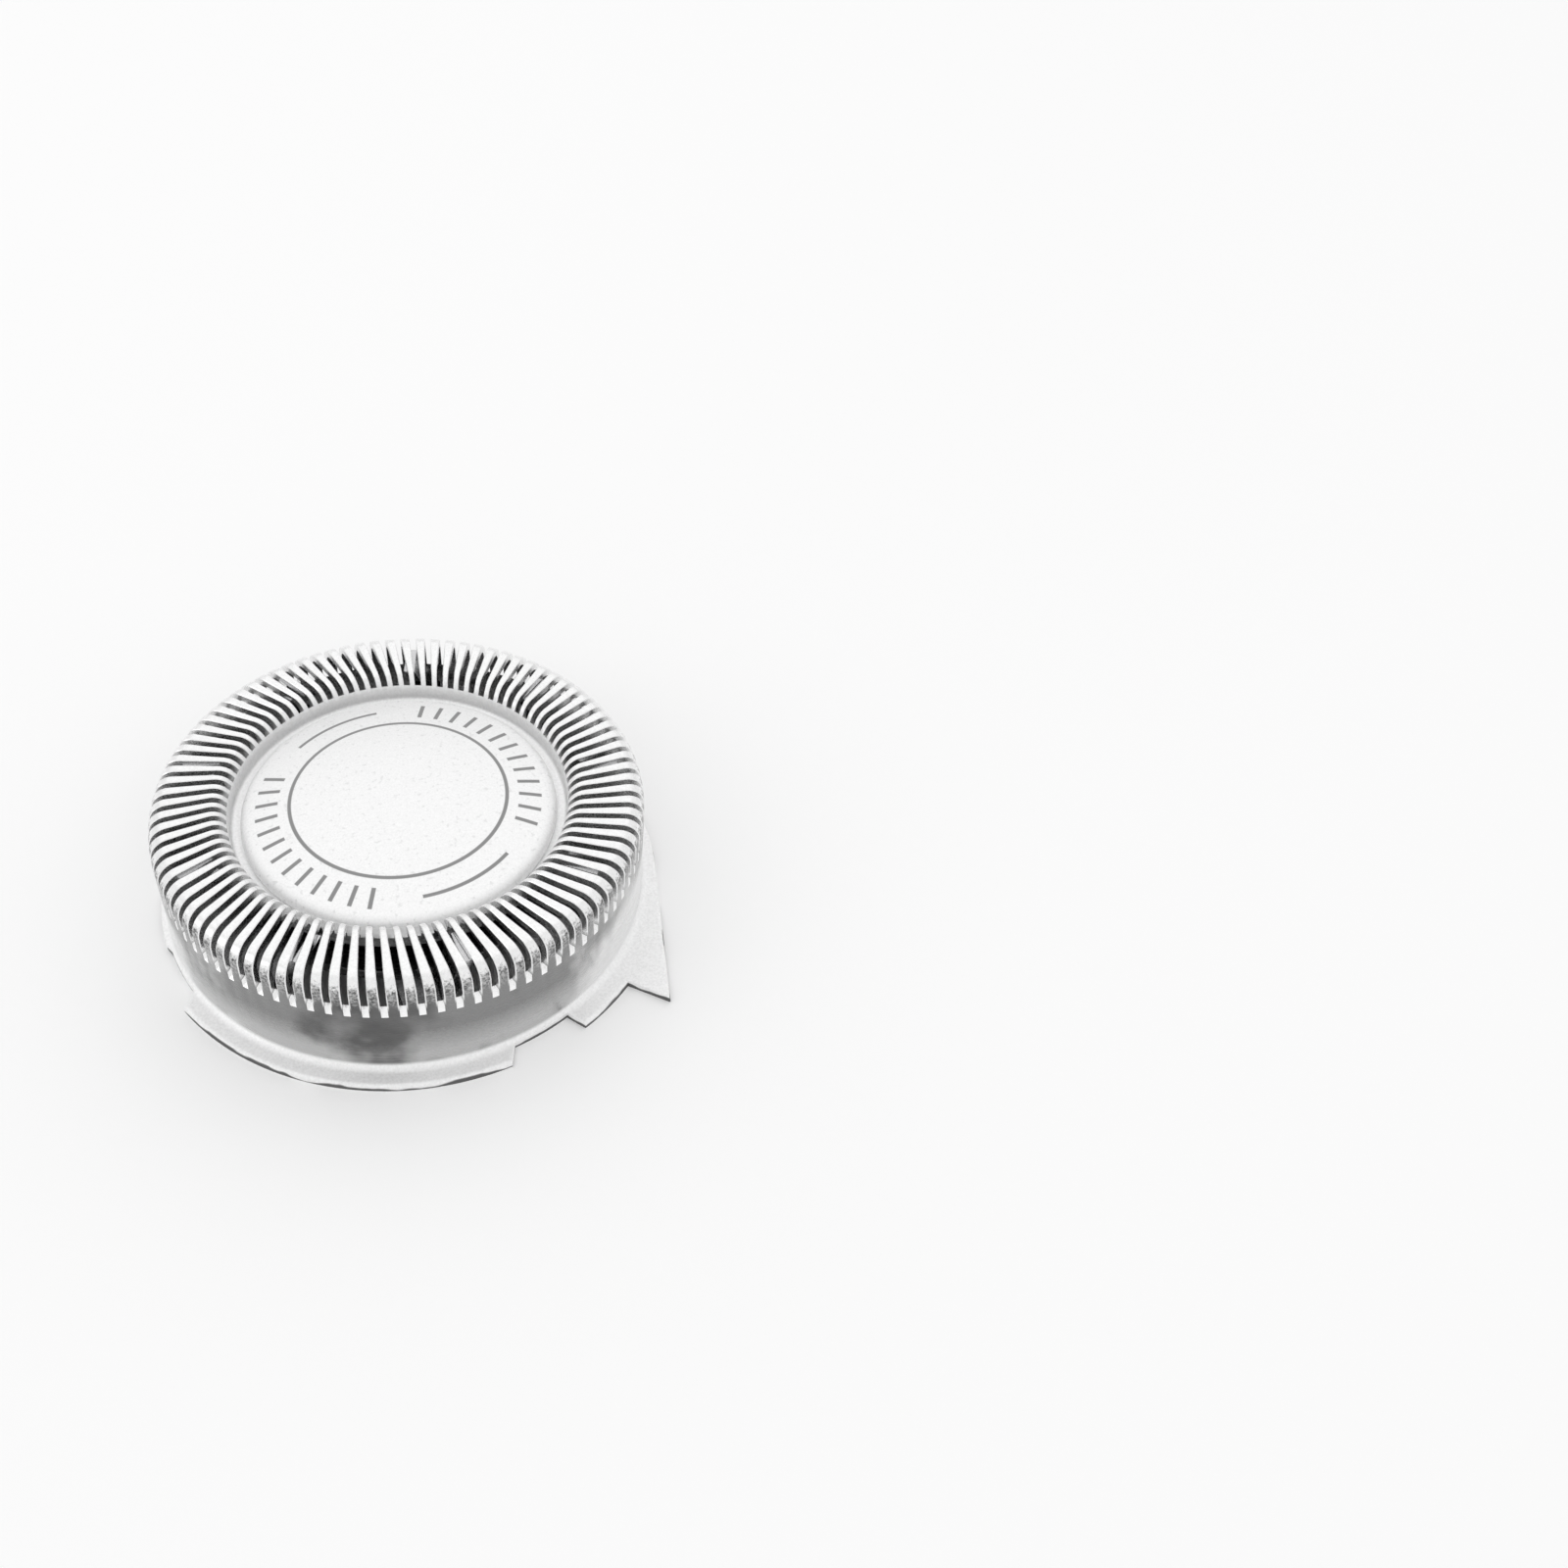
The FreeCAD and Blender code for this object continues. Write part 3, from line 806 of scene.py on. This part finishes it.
# %% Flange outline
front_rim, short_rim, side_rim, tab_rim = 12.4, 12.55, 12.07, 11.7
notch_floor, lobe_reach, lobe_start = 11.55, 14.64, -6.6
lobe_turn = math.degrees(math.acos(side_rim / lobe_reach))
lobe_azimuth = lobe_start - lobe_turn
outline_corners = [
    (209.0 - 360.0, notch_floor), (211.5 - 360.0, front_rim),
    (-73.5, front_rim), (-71.0, notch_floor),
    (-57.0, notch_floor), (-56.0, short_rim),
    (-42.0, short_rim), (lobe_azimuth, lobe_reach), (lobe_start, side_rim),
    (155.5, side_rim), (158.0, tab_rim),
    (193.3, tab_rim), (195.8, notch_floor), (209.0, notch_floor),
]


def flange_reach(azimuth):
    """How far the flange reaches at an azimuth in degrees."""
    while azimuth < outline_corners[0][0]:
        azimuth += 360.0
    while azimuth > outline_corners[-1][0]:
        azimuth -= 360.0
    for (start, near), (end, far) in zip(outline_corners, outline_corners[1:]):
        if start <= azimuth <= end:
            if near == far:
                return near
            a, b, ray = math.radians(start), math.radians(end), math.radians(azimuth)
            across = near * math.sin(b - a) * far
            return across / (near * math.sin(ray - a) + far * math.sin(b - ray))
    return front_rim


print("lobe reaches", lobe_reach, "mm at azimuth", round(lobe_azimuth, 1))


# %% [markdown]
# ## Joining the flange to the repeated wall
#
# The repeated mesh ends in two open rings of vertices at the foot of the wall. The flange is
# grown from them. Its profile goes down the bend at the wall's foot, out over the top, round
# the rim and back in below. Where the outline comes in as far as the bend, the rows that would
# pass it stop on the bend.

# %% The flange's profile
corner_break = 0.05
widest_round = 0.22
round_share = 0.4
bend_steps = 5


def bend_rows(bend, limit):
    """(radius, height) rows down the foot bend, kept within a radius."""
    rows = []
    for radius, height in bend_points(flange_centre, bend, 180, 270, bend_steps)[1:]:
        if radius > limit:
            radius = limit
            height = flange_centre[1] - math.sqrt(bend ** 2 - (flange_centre[0] - radius) ** 2)
        rows.append((radius, height))
    return rows


def flange_profile(azimuth):
    """(radius, height) rows of the flange at an azimuth, from its top round to its underside."""
    reach = flange_reach(azimuth)
    top_round = corner_break + round_share * (reach - flange_centre[0])
    top_round = min(max(top_round, corner_break), widest_round)
    top_rows = bend_rows(flange_foot_bend, reach - top_round)
    under_rows = bend_rows(flange_foot_bend + sheet, reach - corner_break - 0.01)
    rim_centre = (reach - top_round, top_rows[-1][1] - top_round)
    rim_rows = bend_points(rim_centre, top_round, 90, 0, 4)
    rim_rows += [(reach, corner_break), (reach - corner_break, 0.0)]
    return top_rows + rim_rows + under_rows[::-1]


print("rows of the flange:", len(flange_profile(0.0)))


# %% [markdown]
# The profile is repeated at the wall's own azimuths and at the outline's corners as well, so a
# face beside a corner simply has one more side. Points that lie on each other, where rows
# stopped on the bend, are merged in the end.

# %% Grow the flange
def open_ring(mesh, radius):
    """The vertices of the open ring at the wall's foot with a radius, by azimuth in degrees."""
    ring = {}
    for vertex in mesh.verts:
        reach = math.hypot(vertex.co.x, vertex.co.y) / MM
        if abs(vertex.co.z / MM - flange_centre[1]) < 0.001 and abs(reach - radius) < 0.01:
            ring[math.degrees(math.atan2(vertex.co.y, vertex.co.x))] = vertex
    return [(azimuth, ring[azimuth]) for azimuth in sorted(ring)]


def add_flange(mesh):
    """Faces from the wall's outer open ring round the flange to its inner open ring."""
    outer = open_ring(mesh, wall_radius)
    inner = open_ring(mesh, wall_radius - sheet)
    corners = [((azimuth + 180.0) % 360.0) - 180.0 for azimuth, reach in outline_corners[:-1]]
    wall_azimuths = [azimuth for azimuth, vertex in outer]
    extra = [azimuth for azimuth in corners if min(abs(azimuth - w) for w in wall_azimuths) > 0.02]
    columns = sorted(wall_azimuths + extra)
    grid = []
    for azimuth in columns:
        angle = math.radians(azimuth)
        profile = flange_profile(azimuth)
        grid.append([mesh.verts.new(placed(radius, angle, height)) for radius, height in profile])
    for here, there in zip(grid, grid[1:] + grid[:1]):
        for row in range(len(here) - 1):
            mesh.faces.new([here[row], here[row + 1], there[row + 1], there[row]])

    def stitch(ring, row, flip):
        """Faces between an open ring of the wall and a row of the flange."""
        for (start, near), (end, far) in zip(ring, ring[1:] + ring[:1]):
            after = end if end > start else end + 360.0
            between = []
            for index, azimuth in enumerate(columns):
                for turned in (azimuth, azimuth + 360.0):
                    if start - 0.001 <= turned <= after + 0.001:
                        between.append((turned, grid[index][row]))
            chain = [vertex for turned, vertex in sorted(between, key=lambda pair: pair[0])]
            polygon = [near] + chain + [far]
            mesh.faces.new(polygon if not flip else polygon[::-1])

    stitch(outer, 0, False)
    stitch(inner, -1, True)
    bmesh.ops.remove_doubles(mesh, verts=mesh.verts, dist=0.001 * MM)


# %% [markdown]
# Every mesh is finished in the same way. Its faces are turned outwards and shaded smooth, and its
# edges past an angle stay sharp. The imported solid that the piece stands for is then hidden, and
# the piece is attached to the body it rides on.

# %% Finish the guard
def finish_mesh(mesh, data, sharp_degrees):
    """Writes a bmesh to its data with smooth faces and sharp edges past an angle."""
    bmesh.ops.recalc_face_normals(mesh, faces=mesh.faces)
    limit = math.radians(sharp_degrees)
    for face in mesh.faces:
        face.smooth = True
    for edge in mesh.edges:
        edge.smooth = len(edge.link_faces) == 2 and edge.calc_face_angle(0.0) < limit
    open_edges = sum(1 for edge in mesh.edges if len(edge.link_faces) != 2)
    mesh.to_mesh(data)
    mesh.free()
    counts = (len(data.vertices), "points,", len(data.polygons), "faces,", open_edges, "open edges")
    print(data.name, *counts)


def piece(name, data, finish, body, node):
    """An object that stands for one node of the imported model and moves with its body."""
    data.materials.clear()
    data.materials.append(finish)
    made = bpy.data.objects.new(name, data)
    bpy.context.scene.collection.objects.link(made)
    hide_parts(node)
    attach(made, body)


guard_data = repeated(pitch_mesh, slot_count, guard_finish, "slotted_guard")
guard_mesh = bmesh.new()
guard_mesh.from_mesh(guard_data)
add_flange(guard_mesh)
finish_mesh(guard_mesh, guard_data, 32.0)
piece("slotted_guard", guard_data, guard_finish, "guard", "guard_shell")


# %% [markdown]
# ## The domed trim disc
#
# The disc is a thin stamping: a shallow dome with a rolled edge that stands on the recess
# floor. A flattened sphere would be quick, but it has no rolled edge and no inside. A profile
# turned about the axis gives all three at once. Its poles are closed by fans of triangles.

# %% Turn the disc
disc_radius = 7.3
disc_sheet = 0.3
disc_segments = 192
disc_drop = 0.1
bevel_radius = 7.0
rolled_edge = 0.32
dome_drop = 0.8
dome_sphere = (bevel_radius ** 2 + dome_drop ** 2) / (2 * dome_drop)


def dome_height(radius):
    """The height of the disc's top at a radius."""
    return head_height - disc_drop - dome_sphere + math.sqrt(dome_sphere ** 2 - radius ** 2)


def lathe(name, profile, segments):
    """A bmesh turned from a profile that starts and ends on the axis."""
    mesh = bmesh.new()
    poles = [mesh.verts.new(Vector((0, 0, profile[index][1])) * MM) for index in (0, -1)]
    angles = [math.tau * step / segments for step in range(segments)]
    rings = []
    for radius, height in profile[1:-1]:
        rings.append([mesh.verts.new(placed(radius, angle, height)) for angle in angles])
    for near, far in zip(rings, rings[1:]):
        fill(mesh, near + near[:1], far + far[:1], False)
    for pole, ring in ((poles[0], rings[0]), (poles[1], rings[-1])):
        for near, far in zip(ring, ring[1:] + ring[:1]):
            mesh.faces.new([pole, near, far])
    return mesh, bpy.data.meshes.new(name)


top_radii = (0.0, 1.0, 2.0, 3.0, 4.0, 5.0, 6.0, 6.6, 6.9)
disc_profile = [(radius, dome_height(radius)) for radius in top_radii]
edge_height = dome_height(bevel_radius)
edge_centre = (bevel_radius - 0.02, edge_height - rolled_edge)
disc_profile += bend_points(edge_centre, rolled_edge, 80, 0, 6)
disc_profile += [(disc_radius, floor_top + 0.05), (disc_radius - 0.05, floor_top)]
rim_inside = disc_radius - disc_sheet
disc_profile += [(rim_inside, floor_top), (rim_inside, edge_height - 0.42)]
disc_profile += [(radius, dome_height(radius) - disc_sheet) for radius in (6.8, 6.0, 4.0, 2.0, 0.0)]
disc_mesh, disc_data = lathe("trim_disc", disc_profile, disc_segments)
finish_mesh(disc_mesh, disc_data, 40.0)
piece("trim_disc", disc_data, disc_finish, "guard", "centre_disc")


# %% [markdown]
# ## Cutter, hub and bearing
#
# The solids of these three have the right forms already, and little of them shows through the
# slots, so they aren't drawn again. A copy of each is welded, its corners are broken by a bevel,
# and its round faces are shaded smooth.

# %% Finish the inner pieces
def softened_copy(node, name, width):
    """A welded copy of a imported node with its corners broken."""
    mesh = bmesh.new()
    mesh.from_mesh(nodes[node].data)
    bmesh.ops.remove_doubles(mesh, verts=mesh.verts, dist=0.001 * MM)
    bmesh.ops.dissolve_limit(mesh, angle_limit=math.radians(1.0), verts=mesh.verts,
                             edges=mesh.edges)
    corners = [edge for edge in mesh.edges
               if len(edge.link_faces) == 2 and edge.calc_face_angle(0.0) > math.radians(35.0)]
    bmesh.ops.bevel(mesh, geom=corners, offset=width * MM, offset_type="OFFSET", segments=1,
                    affect="EDGES", clamp_overlap=True, profile=0.5)
    return mesh, bpy.data.meshes.new(name)


for node, name, body, finish, slot, width in (
    ("cutter_ring", "blade_ring", "cutter", cutter_finish, "cutter_steel", 0.03),
    ("drive_hub", "hub", "cutter", hub_finish, "hub_plastic", 0.05),
    ("guide_bearing", "bearing", "guard", bearing_finish, "bearing_plastic", 0.04),
):
    copy_mesh, copy_data = softened_copy(node, name, width)
    finish_mesh(copy_mesh, copy_data, 30.0)
    piece(name, copy_data, finish, body, node)


# %% [markdown]
# ## Floor and light
#
# The head stands on a plain white floor. It is pale by its own colour. What the camera, glossy
# rays and transmission rays see of it is lifted a little, so that it is white in the picture and
# in the steel, while it still takes the head's shadow. Under the head it isn't lifted, so the
# slots look into the dark.

# %% Floor
floor_half = 0.6
floor_gap = 0.02
floor_lift = 0.11


def make_floor():
    """A large pale floor under the flange."""
    data = bpy.data.meshes.new("floor")
    signs = ((-1, -1), (1, -1), (1, 1), (-1, 1))
    corners = [(x * floor_half, y * floor_half, -floor_gap * MM) for x, y in signs]
    data.from_pydata(corners, [], [(0, 1, 2, 3)])
    floor = bpy.data.objects.new("floor", data)
    bpy.context.scene.collection.objects.link(floor)
    finish = bpy.data.materials.new("floor_white")
    finish.use_nodes = True
    tree = finish.node_tree
    shader = tree.nodes["Principled BSDF"]
    shader.inputs["Base Color"].default_value = (0.86, 0.86, 0.86, 1.0)
    shader.inputs["Roughness"].default_value = 0.9
    shader.inputs["Specular IOR Level"].default_value = 0.1
    rays = tree.nodes.new("ShaderNodeLightPath")
    ray_kinds = ("Is Camera Ray", "Is Glossy Ray", "Is Transmission Ray")
    seen = largest(tree, *(rays.outputs[kind] for kind in ray_kinds))
    place = tree.nodes.new("ShaderNodeTexCoord").outputs["Object"]
    x, y, z, radius, azimuth = polar_place(tree, place)
    clear = maths(tree, "GREATER_THAN", radius, wall_radius)
    lift = product(tree, seen, clear, floor_lift)
    tree.links.new(lift, shader.inputs["Emission Strength"])
    shader.inputs["Emission Color"].default_value = (1.0, 1.0, 1.0, 1.0)
    data.materials.append(finish)


make_floor()
print("floor:", 2 * floor_half, "m wide")


# %% [markdown]
# Bright steel looks like what stands round it, so it needs a soft and even room. A sky that is
# a little darker towards the horizon gives most of the light and shapes the round shoulder.

# %% Sky
seen_sky = 0.95


def make_world():
    """A soft sky that is bright overhead and darker towards the horizon."""
    world = bpy.data.worlds.new("soft_room")
    bpy.context.scene.world = world
    world.use_nodes = True
    tree = world.node_tree
    back = tree.nodes["Background"]
    direction = tree.nodes.new("ShaderNodeTexCoord").outputs["Generated"]
    split = tree.nodes.new("ShaderNodeSeparateXYZ")
    tree.links.new(direction, split.inputs[0])
    level = ramp(tree, split.outputs["Z"], 0.0, 0.5, 0.86, 0.92)
    rays = tree.nodes.new("ShaderNodeLightPath")
    seen = product(tree, rays.outputs["Is Camera Ray"], seen_sky)
    tree.links.new(maths(tree, "MAXIMUM", level, seen), back.inputs["Strength"])
    back.inputs["Color"].default_value = (1.0, 1.0, 1.0, 1.0)


make_world()
print("sky seen by the camera:", seen_sky)


# %% [markdown]
# A large lamp behind and above the head gives the soft shadow in front of it, and a weaker one
# lifts its left side. Both are wide, so that they leave no hard glint.

# %% Lamps
def soft_lamp(name, place, side, power):
    """A square lamp that points at the head."""
    light = bpy.data.lights.new(name, "AREA")
    light.shape = "SQUARE"
    light.size = side
    light.energy = power
    lamp = bpy.data.objects.new(name, light)
    bpy.context.scene.collection.objects.link(lamp)
    lamp.location = place
    lamp.rotation_euler = (-Vector(place)).to_track_quat("-Z", "Y").to_euler()


soft_lamp("top_light", (0.0, 0.14, 0.3), 0.5, 0.12)
soft_lamp("left_light", (-0.3, -0.05, 0.16), 0.16, 0.06)


# %% [markdown]
# ## The camera
#
# The photograph looks down on the head at about forty-five degrees from close by, a little
# rolled, with the head left of the middle. The camera is turned towards the head first. A
# small lens shift gives part of its place in the frame and keeps its round shape, and a swing
# of the camera gives the rest.

# %% Camera
camera_distance = 0.072
camera_elevation = math.radians(44.66)
camera_roll = math.radians(6.73)
frame_pixels = 1600.0
focal_pixels = 1583.6
lens_shift = 0.11
axis_pixel = (frame_pixels * (0.5 - lens_shift), frame_pixels / 2)
head_pixel = (405.9, 804.9)


def make_camera():
    """The camera of the photograph."""
    camera_data = bpy.data.cameras.new("camera")
    camera_data.sensor_width = 36.0
    camera_data.lens = focal_pixels * camera_data.sensor_width / frame_pixels
    camera_data.clip_start = 0.005
    camera = bpy.data.objects.new("camera", camera_data)
    bpy.context.scene.collection.objects.link(camera)
    target = Vector((0.0, 0.0, head_height * MM))
    towards = Vector((0.0, math.cos(camera_elevation), -math.sin(camera_elevation)))
    camera.location = target - towards * camera_distance
    camera_data.shift_x = lens_shift
    facing = towards.to_track_quat("-Z", "Y") @ Quaternion((0.0, 0.0, 1.0), -camera_roll)
    right = (head_pixel[0] - axis_pixel[0]) / focal_pixels
    down = (head_pixel[1] - axis_pixel[1]) / focal_pixels
    swing = Vector((right, -down, -1.0)).normalized().rotation_difference(Vector((0.0, 0.0, -1.0)))
    camera.rotation_mode = "QUATERNION"
    camera.rotation_quaternion = facing @ swing
    bpy.context.scene.camera = camera
    print("lens:", round(camera_data.lens, 2), "mm")


make_camera()
bpy.context.scene.view_settings.view_transform = "Standard"
